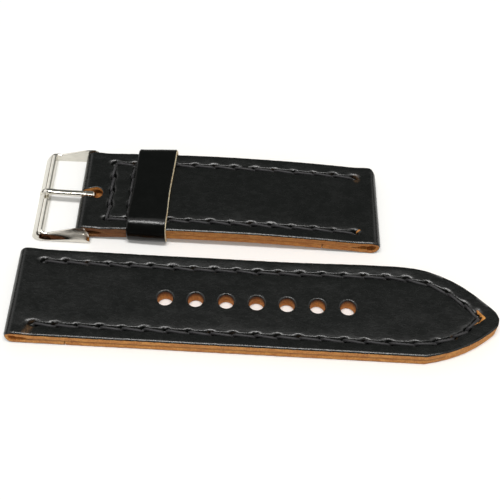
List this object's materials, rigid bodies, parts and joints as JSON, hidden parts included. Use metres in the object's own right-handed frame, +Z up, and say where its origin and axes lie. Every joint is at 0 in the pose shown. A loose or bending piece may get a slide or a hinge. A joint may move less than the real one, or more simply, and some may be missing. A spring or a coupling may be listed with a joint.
{
  "type": "watch strap",
  "caption": "Leather watch strap in separate halves, one punched and tapered and one with a sliding keeper and a steel pin buckle on a sprung bar.",
  "frame": {"origin": "middle of the strap's bounding box, on the surface that both halves lie on", "axes": "+X along the strap from the buckle to the tip of the punched half, +Y from the punched half to the buckle half, +Z up through the leather"},
  "size_m": [0.115, 0.0558, 0.0068],
  "materials": {
    "black_leather": "black semi-gloss top with tan cut edges",
    "tan_leather": "natural tan, open grain",
    "keeper_leather": "black gloss with tan cut edges",
    "black_thread": "waxed twisted thread",
    "polished_steel": "polished stainless steel"
  },
  "bodies": {
    "short_strap": {"short_outer_leather": "black_leather", "short_lining_leather": "tan_leather", "short_edge_thread": "black_thread", "short_cross_thread": "black_thread"},
    "buckle": {"buckle_frame": "polished_steel", "spring_bar_tube": "polished_steel", "spring_bar_spring": "polished_steel"},
    "tongue": {"buckle_tongue": "polished_steel"},
    "pin_far": {"spring_bar_pin_far": "polished_steel"},
    "pin_near": {"spring_bar_pin_near": "polished_steel"},
    "keeper": {"keeper_band": "keeper_leather", "keeper_seam_thread": "black_thread"},
    "long_strap": {"long_outer_leather": "black_leather", "long_lining_leather": "tan_leather", "long_edge_thread": "black_thread"}
  },
  "joints": [
    {"name": "buckle_hinge", "type": "hinge", "parent": "short_strap", "child": "buckle", "pos_m": [-0.04309, 0.01438, 0.00251], "axis": [0, 1, 0], "range_deg": [-100, 60]},
    {"name": "tongue_hinge", "type": "hinge", "parent": "buckle", "child": "tongue", "pos_m": [-0.04309, 0.01342, 0.00251], "axis": [0, 1, 0], "range_deg": [0, 70]},
    {"name": "keeper_slide", "type": "hinge", "parent": "short_strap", "child": "keeper", "pos_m": [-0.0097, 0.01438, -0.41172], "axis": [0, 1, 0], "range_deg": [-0.75, 6]},
    {"name": "pin_far_press", "type": "slide", "parent": "buckle", "child": "pin_far", "axis": [0, -1, 0], "range_m": [0, 0.001], "stiffness_N_per_m": 600, "springref_m": -0.002, "deforming": ["spring_bar_spring"]},
    {"name": "pin_near_press", "type": "slide", "parent": "buckle", "child": "pin_near", "axis": [0, 1, 0], "range_m": [0, 0.001], "stiffness_N_per_m": 600, "springref_m": -0.002, "deforming": ["spring_bar_spring"]},
    {"name": "long_half_lift", "type": "slide", "parent": "short_strap", "child": "long_strap", "axis": [0, 0, 1], "range_m": [0, 0.02]}
  ]
}
